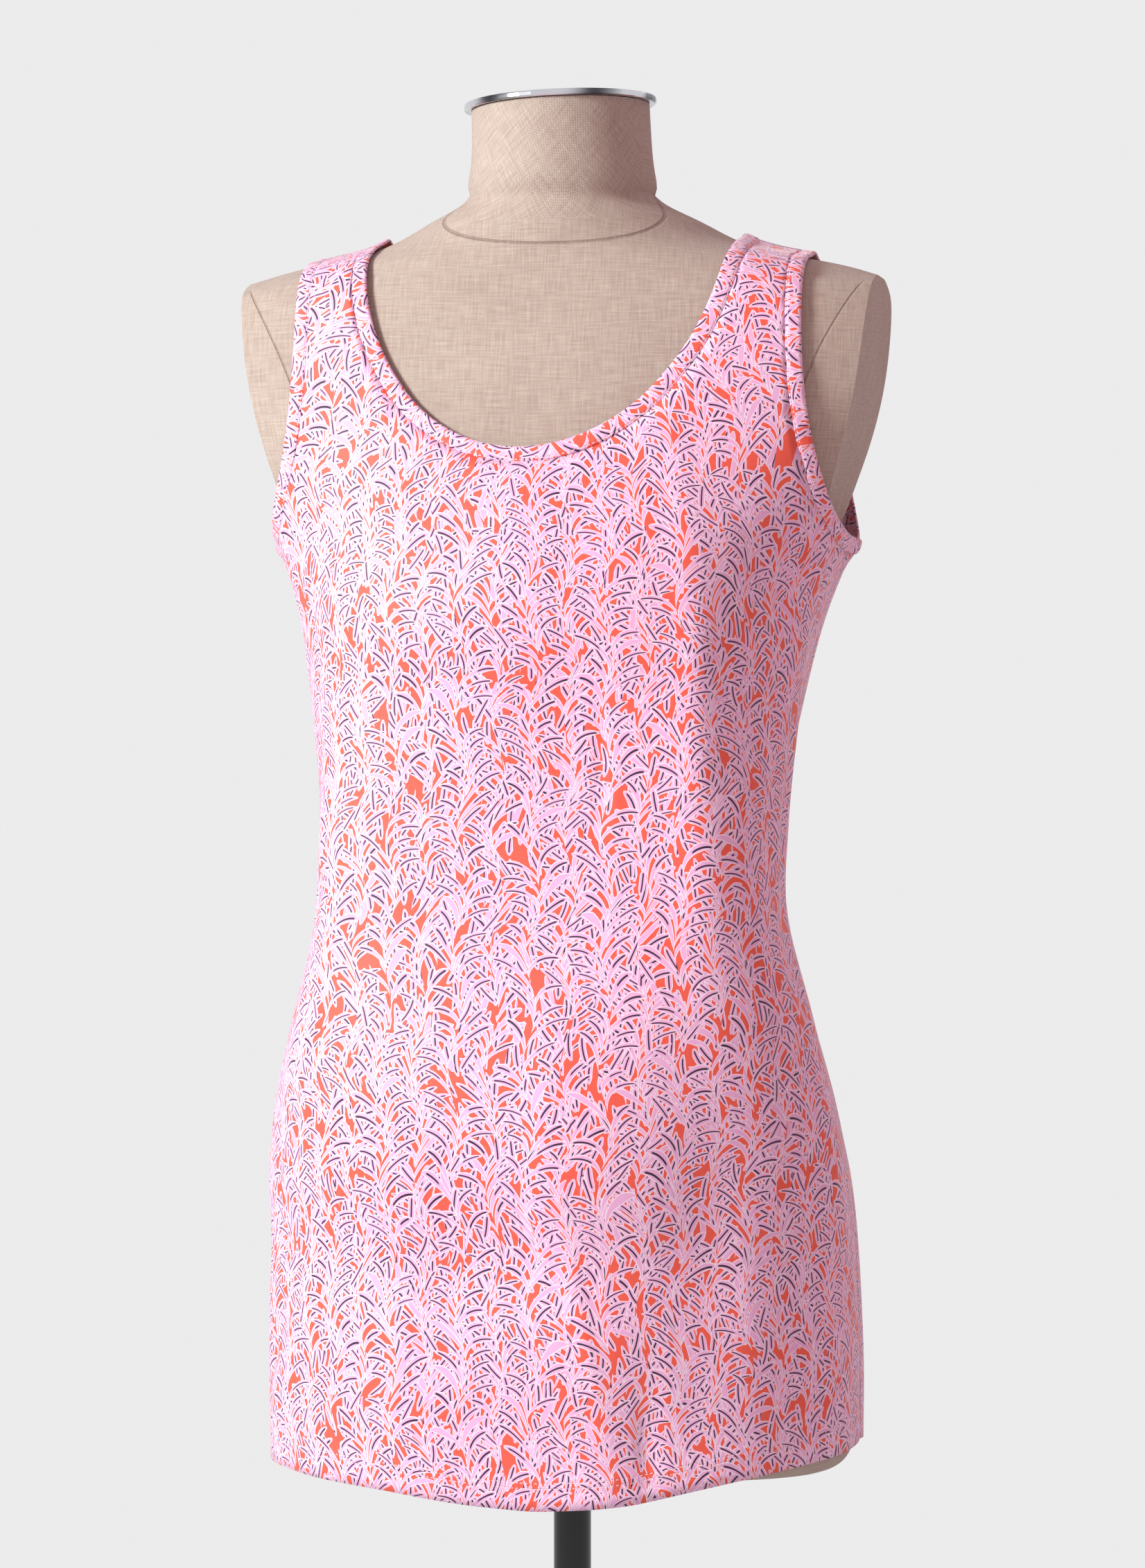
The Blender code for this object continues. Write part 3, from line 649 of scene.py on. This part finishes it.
BROAD = {  # the same for the broad swells and hollows, over and under the belly
    "angle": (12, 45, 14, 43, -10, -6, 165, -150),
    "height": (0.420, 0.430, 0.700, 0.700, 0.500, 0.405, 0.420, 0.430),
    "tall": (0.110, 0.110, 0.120, 0.130, 0.050, 0.034, 0.100, 0.100),
    "wide": (15, 12, 13, 9, 45, 45, 16, 14),
    "rise": (3.6, -3.8, -1.6, 2.4, 3.0, -4.4, 1.6, -1.6),
    "lean": (0, 0, 0, 0, 0, 0, 0, 0),
}
print("creases:", len(CREASES["angle"]), "and", len(BROAD["angle"]), "broad ones")

# %% How the creases lift the cloth
RISE = 0.00145  # metres for each step of rise
UNEVEN = 0.0009
LUMPS = (16, 16, 11)  # lumps to a metre of cloth that hangs, along x, y and z


def angle_at(points):
    """The angle round the body: 0 at the centre front, +90 at the wearer's left."""
    return np.degrees(np.arctan2(points[:, 0], BODY_MIDDLE - points[:, 1]))


def crease(points):
    """How far the creases lift each point, in metres."""
    lift = np.zeros(len(points))
    angle = angle_at(points)
    rows = [*zip(*CREASES.values()), *zip(*BROAD.values())]
    for at, height, tall, wide, rise, lean in rows:
        above = points[:, 2] - height
        off = (angle - at - lean * above + 180) % 360 - 180
        lift += RISE * rise * np.exp(-(off / wide) ** 2 - (above / tall) ** 2)
    return lift


def uneven(points):
    """The small unevenness of cloth that hangs, in metres."""
    return np.array([UNEVEN * noise.noise(Vector(point * LUMPS)) for point in points])


lift = crease(points_of(front))
print("the creases lift the front's points by", round(lift.max() * 1000, 1), "mm at most")

# %% Bumps at the seams
ARMPIT = (0.1690, 0.8200)  # each armhole's lowest point: its x and its height
TAB_OUT = 0.0042
TAB_SIZE = (0.011, 0.0085)  # how far a bump reaches sideways and upwards
TAB_DROP = 0.005  # its middle is a little below the armhole's lowest point
RIDGE = 0.0026  # how far a shoulder seam stands up
RIDGE_REACH = 0.009
STRAPS_FROM = 0.94
SIDES = (0.14, 0.02)  # the bumps begin at this x, and are whole this much further out


def seam_bumps(points):
    """The bumps where side seams end in the bindings, and the shoulder seams' ridges."""
    from_seam = points[:, 1] - BODY_MIDDLE
    above = (points[:, 2] - ARMPIT[1] + TAB_DROP) / TAB_SIZE[1]
    outer = np.clip((np.abs(points[:, 0]) - SIDES[0]) / SIDES[1], 0, 1)
    moved = np.zeros_like(points)
    moved[:, 0] = (np.sign(points[:, 0]) * outer * TAB_OUT
                   * np.exp(-(from_seam / TAB_SIZE[0]) ** 2 - above**2))
    moved[:, 2] = (points[:, 2] > STRAPS_FROM) * RIDGE * np.exp(-(from_seam / RIDGE_REACH) ** 2)
    return moved


bumps = np.linalg.norm(seam_bumps(points_of(front)), axis=1)
print("seam bumps up to", round(bumps.max() * 1000, 1), "mm")


# %% Modifiers and moves
def finished(piece, kind, **settings):
    """Adds a modifier and applies it."""
    only(piece)
    bpy.ops.object.modifier_add(type=kind)
    modifier = piece.modifiers[-1]
    for name, value in settings.items():
        setattr(modifier, name, value)
    bpy.ops.object.modifier_apply(modifier=modifier.name)


def pushed(piece, lift):
    """Moves each point along its normal."""
    for vertex, normal, far in zip(piece.data.vertices,
                                   [item.vector.copy() for item in piece.data.vertex_normals],
                                   lift):
        vertex.co += normal * float(far)


def smooth(piece):
    """Rounds a piece by subdividing it twice."""
    finished(piece, "SUBSURF", levels=2, render_levels=2, boundary_smooth="PRESERVE_CORNERS")
    only(piece)
    bpy.ops.object.shade_smooth()


def kept_number(piece, name, values):
    """Keeps a number on each point, for the material."""
    layer = piece.data.attributes.new(name, "FLOAT", "POINT")
    layer.data.foreach_set("value", np.asarray(values, dtype=np.float32))


print("before it is rounded, the front has", len(front.data.polygons), "faces")

# %% Distances from the hem and the side seams
HEM_ZONE = 0.045  # the hem's points are at most this much above its lowest
NEAR_SEAM = 0.002  # a side seam's points are at most this far from its plane
SEAM_SINK = 0.0007  # how far a side seam pulls the cloth in
SEAM_REACH = 0.005


def open_edges(piece):
    """A sheet's open edges, as pairs of point numbers."""
    counts = {}
    for face in piece.data.polygons:
        for key in face.edge_keys:
            counts[key] = counts.get(key, 0) + 1
    return [key for key, count in counts.items() if count == 1]


def edge_points(piece):
    """The points on a sheet's open edges."""
    return sorted({index for key in open_edges(piece) for index in key})


def above_hem(piece, points):
    """Each point's height over the hem below it."""
    turned = angle_at(points)
    if piece is back:
        turned = turned % 360
    lowest = points[:, 2].min()
    hem = [index for index in edge_points(piece) if points[index, 2] < lowest + HEM_ZONE]
    hem = sorted(hem, key=lambda index: turned[index])
    return points[:, 2] - np.interp(turned, turned[hem], points[hem, 2])


def from_side_seam(piece, points):
    """Each point's distance from the nearest side seam."""
    seam = [index for index in edge_points(piece)
            if abs(points[index, 1] - BODY_MIDDLE) < NEAR_SEAM
            and points[index, 2] < ARMPIT[1]]
    tree = KDTree(len(seam))
    for index in seam:
        tree.insert(points[index], index)
    tree.balance()
    return np.array([tree.find(point)[2] for point in points])


print("points on the front's edges:", len(edge_points(front)))

# %% Folded panels
WALL = 0.0018  # the hem's wall
ABOVE_HEM = 0.55  # the wall above the hem, as a share of the hem's
HEM_DEPTH = 0.0165

for piece in (front, back):
    smooth(piece)
    points = points_of(piece)
    above = above_hem(piece, points)
    near_side = np.exp(-(from_side_seam(piece, points) / SEAM_REACH) ** 2)
    kept_number(piece, "above_hem", above)
    kept_number(piece, "near_side", near_side)
    folds = crease(points)
    pushed(piece, folds + uneven(points) - SEAM_SINK * near_side)
    for vertex, move in zip(piece.data.vertices, seam_bumps(points)):
        vertex.co += Vector(move)
    print(piece.name, "creases from", round(folds.min() * 1000, 1), "to",
          round(folds.max() * 1000, 1), "mm")
    thick = piece.vertex_groups.new(name="thick")
    for index, value in enumerate(above):
        thick.add([index], 1.0 if value < HEM_DEPTH else ABOVE_HEM, "REPLACE")
    finished(piece, "SOLIDIFY", thickness=WALL, offset=-1, vertex_group="thick",
             use_quality_normals=True)
    piece.data.materials.append(printed)
    print(piece.name, len(piece.data.polygons), "faces")

# %% [markdown]
# ## Bindings
#
# The neck and the armholes are finished with a folded strip of the same jersey,
# cut across, so the stems of the print cross it. The strip's outer side comes
# from its solid. Its edges are rolled down, it is made a little wider so that it
# covers the panel's edge, and the stitches pull a fine groove along it. A profile
# swept along a curve could make it too, but this way it fits the panel's edge.

# %% A strip's two edges
def loops_of(piece):
    """The open edges of a strip, as rings of point numbers, the shortest first."""
    beside = {}
    for a, b in open_edges(piece):
        beside.setdefault(a, []).append(b)
        beside.setdefault(b, []).append(a)
    rings = []
    while beside:
        ring = [min(beside)]
        while True:
            ahead = [index for index in beside.pop(ring[-1]) if index in beside]
            if not ahead:
                break
            ring.append(ahead[0])
        rings.append(ring)
    points = points_of(piece)
    return sorted(rings, key=lambda ring: np.linalg.norm(
        points[ring] - points[ring[1:] + ring[:1]], axis=1).sum())


def along_ring(points, ring):
    """For each point: its way along a ring, its distance from it, and the ring's length."""
    start = points[ring]
    step = points[ring[1:] + ring[:1]] - start
    size = np.linalg.norm(step, axis=1)
    before = np.concatenate([[0], np.cumsum(size)])[:-1]
    tree = KDTree(len(ring))
    for index, point in enumerate(start):
        tree.insert(point, index)
    tree.balance()
    way, far = np.zeros(len(points)), np.zeros(len(points))
    for number, point in enumerate(points):
        best = None
        _, nearest, _ = tree.find(point)
        for index in (nearest - 1, nearest):
            share = np.clip((point - start[index]) @ step[index] / size[index] ** 2, 0, 1)
            gap = np.linalg.norm(point - start[index] - share * step[index])
            if best is None or gap < best[0]:
                best = (gap, before[index] + share * size[index])
        far[number], way[number] = best
    return way, far, size.sum()


square = np.array([(0.0, 0.0, 0.0), (1.0, 0.0, 0.0), (1.0, 1.0, 0.0), (0.0, 1.0, 0.0)])
print("round a square of 1 m:", along_ring(square, [0, 1, 2, 3])[2], "m")

# %% Rolled strips
STRIP_WIDTH = 0.010  # with its rolled edges
STRIP_WALL = 0.0012
STRIP_PLACE = 0.013  # where its UV map starts, so that the print differs from a panel's
COVER = 0.0009  # how far a strip reaches over the panel
ROLL = 0.0011  # how far its edges roll down
STITCH_PULL = 0.00035
STITCH_REACH = 0.06  # as a share of the strip's width
GATHER = 0.00012  # the fine waves where a strip is sewn to longer cloth


def bound_edge(node, name):
    """A finished binding from its solid, and its length."""
    piece = outer_side(node, name)
    smooth(piece)
    points = points_of(piece)
    opening, sewn = loops_of(piece)
    way, from_opening, length = along_ring(points, opening)
    _, from_sewn, _ = along_ring(points, sewn)
    across = from_opening / (from_opening + from_sewn)
    sewn_side = points - points[opening][[int(np.argmin(np.linalg.norm(
        points[opening] - point, axis=1))) for point in points]]
    sewn_side /= np.linalg.norm(sewn_side, axis=1)[:, None] + 1e-9
    wider = sewn_side * (COVER * across)[:, None] + seam_bumps(points)
    for vertex, move in zip(piece.data.vertices, wider):
        vertex.co += Vector(move)
    from_middle = np.abs(2 * across - 1)
    rolled = ROLL * (1 - np.sqrt(1 - 0.999 * from_middle**6))
    pulled = STITCH_PULL * np.exp(-((across - STRIP_ROW) / STITCH_REACH) ** 2)
    gathered = GATHER * np.sin(way * 900 + 3 * np.sin(way * 130)) * across
    pushed(piece, gathered - rolled - pulled)
    layer = piece.data.uv_layers.new(name="flat")
    vertex, _, face_of = corners_of(piece)
    around = way[vertex]
    for face in np.unique(face_of):
        here = face_of == face
        if np.ptp(around[here]) > length / 2:
            around[here] += np.where(around[here] < length / 2, length, 0)
    for item, one, two in zip(layer.data, around, across[vertex] * STRIP_WIDTH):
        item.uv = (one, two + STRIP_PLACE)
    kept_number(piece, "across_strip", across)
    finished(piece, "SOLIDIFY", thickness=STRIP_WALL, offset=-1, use_quality_normals=True)
    only(piece)
    bpy.ops.object.shade_smooth()
    piece.data.materials.append(printed)
    print(f"{name}: {length:.3f} m round, {len(piece.data.polygons)} faces")
    return piece, length


print("strips are", STRIP_WIDTH * 1000, "mm wide")

# %% The three bindings
neck_band, neck_round = bound_edge("neck_binding", "neck_band")
right_band, right_round = bound_edge("armhole_binding_right", "right_arm_band")
left_band, left_round = bound_edge("armhole_binding_left", "left_arm_band")

# %% [markdown]
# ## The dress form
#
# The torso is covered in coarse linen: pale and dark threads cross a little
# under a millimetre apart. Its copy is subdivided to be round, but its armhole
# plates stay flat, so their edges are creased first. Seams are marked where a
# maker would cut the cover: at the sides, the neck and the plates.

# %% Where the linen is cut, and where the form has a rim
NECK_SEAM = 1.0025  # the ring where the neck's cover is cut
PLATE_BOTTOM = 0.823
ON_RING = 0.0005  # an edge this near to the ring is on it
ON_SIDE = 0.0025  # an edge this near to the side seams' plane is on it
OFF_MIDDLE = 0.02  # a side seam is further out than this
SIDEWAYS = 0.95  # how squarely the faces of an armhole plate look sideways
UPRIGHT = 0.99  # how squarely the faces of the two ends look up or down


def is_cut(low, high):
    """Whether the edge between two corners lies on a seam of the cover."""
    at_side = all(abs(co.y - BODY_MIDDLE) < ON_SIDE and abs(co.x) > OFF_MIDDLE
                  for co in (low, high))
    at_side = at_side and (low.x < 0 or high.z < NECK_SEAM + ON_RING)
    at_neck = high.z - low.z < ON_RING and abs(low.z - NECK_SEAM) < ON_RING
    return at_side or at_neck


def is_rim(faces):
    """Whether the edge between these faces goes round an armhole plate or an end."""
    on_plate = [abs(face.normal.x) > SIDEWAYS and face.calc_center_median().z > PLATE_BOTTOM
                for face in faces]
    on_end = [abs(face.normal.z) > UPRIGHT for face in faces]
    return any(on_plate) != all(on_plate) or any(on_end) != all(on_end)


print("the neck's cover is cut at", NECK_SEAM, "m")

# %% Mark the torso
SHARP = math.radians(33)

torso = copied("form_body", "torso")
bpy.ops.object.mode_set(mode="EDIT")
bpy.ops.mesh.select_all(action="SELECT")
bpy.ops.mesh.tris_convert_to_quads(face_threshold=math.radians(40),
                                   shape_threshold=math.radians(120))
bpy.ops.object.mode_set(mode="OBJECT")
shape = bmesh.new()
shape.from_mesh(torso.data)
shape.normal_update()
crease_of = shape.edges.layers.float.new("crease_edge")
for edge in shape.edges:
    low, high = sorted((edge.verts[0].co, edge.verts[1].co), key=lambda co: co.z)
    rim = is_rim(edge.link_faces)
    if rim or (len(edge.link_faces) == 2 and edge.calc_face_angle() > SHARP):
        edge[crease_of] = 1.0
    edge.seam = edge.seam or rim or is_cut(low, high)
shape.to_mesh(torso.data)
shape.free()
print("edges on seams:", sum(edge.use_seam for edge in torso.data.edges))

# %% Round the torso
FOOT = (1.0155, 0.0075)  # the height of the neck's foot, and how far its hollow reaches
FOOT_IN = 0.0054  # how deep the hollow is

lay_flat(torso)
smooth(torso)
points = points_of(torso)
outwards = points - (0, BODY_MIDDLE, 0)
outwards[:, 2] = 0
outwards /= np.linalg.norm(outwards, axis=1)[:, None] + 1e-9
hollow = FOOT_IN * np.exp(-((points[:, 2] - FOOT[0]) / FOOT[1]) ** 2)
for vertex, move in zip(torso.data.vertices, outwards * hollow[:, None]):
    vertex.co -= Vector(move)
only(torso)
bpy.ops.object.shade_smooth_by_angle(angle=math.radians(35))
print("torso:", len(torso.data.polygons), "faces")

# %% Linen
FLAX = rgb(240, 224, 208)
SHADOW_THREAD = rgb(138, 108, 98)
THREAD_PITCH = 0.85  # millimetres
WARP = (1000, 60)  # waves to a metre of the unevenness of the upright threads
WEFT = (60, 1000)
WAVER = 2.4  # how much the threads wander
NECK_LINE = (-0.042, 1.0172)  # the y and z of a point of the neck's sewn line
NECK_SLOPE = (0.56, 0.010)  # how it climbs to the back, and to the wearer's right
ARM_LINE = (0.1414, 0.886)  # the x and z of a point of the line beside a plate
ARM_BEND = (0.32, 2.0)  # how fast it runs out above that, and how it bends
ARM_ENDS = (0.035, 0.05)  # it begins between these distances from the side seams
ARM_FOOT = (0.84, 0.85)  # and between these heights


def sewn_line(far):
    """A thin dark line where this distance is nought."""
    return far.sum("ABSOLUTE").ramp(0.0010, 0.0003)


def linen(name):
    """Coarse linen: crossed threads, uneven in tone, with the cover's sewn lines."""
    finish = Finish(name, Roughness=0.85, Sheen_Weight=0.15)
    flat = finish.add("ShaderNodeUVMap", {"uv_map": "flat"}, {})
    across, up, _ = finish.split(flat)
    turns = 2 * math.pi * 1000 / THREAD_PITCH
    waver = finish.noise(flat, 90, 2) * WAVER
    weave = (across * turns + waver).sum("SINE") * (up * turns + waver).sum("SINE")
    warp = finish.streaks(across, up, WARP)
    weft = finish.streaks(across, up, WEFT)
    threads = weave * 0.58 + (warp + weft) * 0.48 - 0.08
    cloudy = finish.noise(flat, 14, 3) * 0.22 - 0.11
    place = finish.add("ShaderNodeTexCoord", {}, {}, "Object")
    x, y, z = finish.split(place)
    neck_line = sewn_line(z - NECK_LINE[1] - (y - NECK_LINE[0]) * NECK_SLOPE[0]
                          + x * NECK_SLOPE[1])
    rise = z - ARM_LINE[1]
    bend = rise * ARM_BEND[0] + rise * rise * ARM_BEND[1]
    on_arm = (y - BODY_MIDDLE).sum("ABSOLUTE").ramp(*ARM_ENDS) * z.ramp(*ARM_FOOT)
    arm_line = sewn_line(x.sum("ABSOLUTE") - ARM_LINE[0] - bend) * on_arm
    stitches = (finish.noise(place, 900, 1) - 0.5) * 1.6 + 0.6
    tone = threads + cloudy - neck_line * stitches * 0.5 - arm_line * 0.22
    finish.feed("Base Color", finish.blend(kept_within(tone), SHADOW_THREAD, FLAX))
    finish.bump(threads * 0.25 - (neck_line + arm_line) * 1.6, 0.0008, 0.7)
    return finish.material


torso.data.materials.append(linen("linen cover"))
print("linen threads are", THREAD_PITCH, "mm apart")

# %% [markdown]
# ## Steel and paint
#
# The plate on the neck is polished steel. Its rim is painted in bright and dark
# streaks that stand in for reflections, and its flat sides are plain and turned.
# The pole, its socket and the base are painted black with a soft gloss and a fine
# speckle. The shapes of all four are true in the CAD model, so only their
# materials change.

# %% Polished steel
TURNING = 0.0011  # from one turning mark to the next
PLATE_RIM = (0.0020, 0.0010)  # the rim begins between these distances from its edge
# On the rim these two colours paint reflections in streaks; on the flat sides they give an uneven
# tone.
DARK_STEEL = rgb(66, 66, 72)
BRIGHT_STEEL = rgb(214, 214, 219)


def steel(name, middle, radius):
    """Polished steel for the plate: painted reflections on its rim, turned on its flat sides."""
    finish = Finish(name, Metallic=1.0)
    place = finish.add("ShaderNodeTexCoord", {}, {}, "Object")
    x, y, z = finish.split(place)
    out = ((x - middle[0]) ** 2 + (y - middle[1]) ** 2 + (z - middle[2]) ** 2) ** 0.5
    on_rim = out.ramp(radius - PLATE_RIM[0], radius - PLATE_RIM[1])
    # Painted reflection: bright and dark streaks in the rim's colour stand in for the studio
    # mirrored in the steel.
    streaks = finish.noise(place, 26, 1).ramp(0.40, 0.62)
    uneven_tone = finish.noise(place, 38, 3) * 0.16 + 0.80
    tone = streaks * on_rim + uneven_tone * (1 - on_rim)
    finish.feed("Base Color", finish.blend(tone, DARK_STEEL, BRIGHT_STEEL))
    finish.feed("Roughness", finish.noise(place, 60, 3) * 0.10 + 0.20 - on_rim * 0.12)
    turned = (out * (2 * math.pi / TURNING)).sum("SINE") * (1 - on_rim)
    finish.bump(finish.noise(place, 900, 2) + turned * 0.8, 0.00003, 0.3)
    return finish.material


print("steel is turned every", TURNING * 1000, "mm")

# %% Black paint
PAINT = rgb(13, 14, 17)
PAINT_SPECK = rgb(24, 25, 29)


def black_paint(name):
    """Black paint with a soft gloss and a fine speckle."""
    finish = Finish(name, Metallic=0.0, Specular_IOR_Level=0.25, Coat_Weight=0.45,
                    Coat_Roughness=0.06)
    place = finish.add("ShaderNodeTexCoord", {}, {}, "Object")
    speckle = finish.noise(place, 700, 2)
    finish.feed("Roughness", finish.noise(place, 25, 3) * 0.15 + 0.28)
    finish.feed("Base Color", finish.blend(speckle.ramp(0.45, 0.75), PAINT, PAINT_SPECK))
    finish.bump(speckle, 0.00006, 0.4)
    return finish.material


black = black_paint("black paint")
print("made", black.name)


# %% Paint the plate and the stand
def painted(node, material):
    """Gives a CAD node a better material in its own slots."""
    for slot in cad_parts[node].material_slots:
        slot.material = material


plate = points_of(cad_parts["neck_cap"])
plate_middle = (plate.min(axis=0) + plate.max(axis=0)) / 2
painted("neck_cap", steel("polished steel", plate_middle, np.ptp(plate[:, 0]) / 2))
for node in ("pole", "pole_socket", "stand_base"):
    painted(node, black)
print("the plate's radius is", round(np.ptp(plate[:, 0]) * 500, 1), "mm")

# %% [markdown]
# ## Joining the frame
#
# Every piece rides on the one body and stands for its solid, which is hidden.

# %% Ride and replace
PLACES = (
    (front, "front_panel", "printed_jersey"), (back, "back_panel", "printed_jersey"),
    (neck_band, "neck_binding", "printed_binding"),
    (right_band, "armhole_binding_right", "printed_binding"),
    (left_band, "armhole_binding_left", "printed_binding"),
    (torso, "form_body", "linen_cover"))
for piece, node, slot in PLACES:
    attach(piece, "root")
    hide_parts(node)
print("declared", len(PLACES), "pieces")
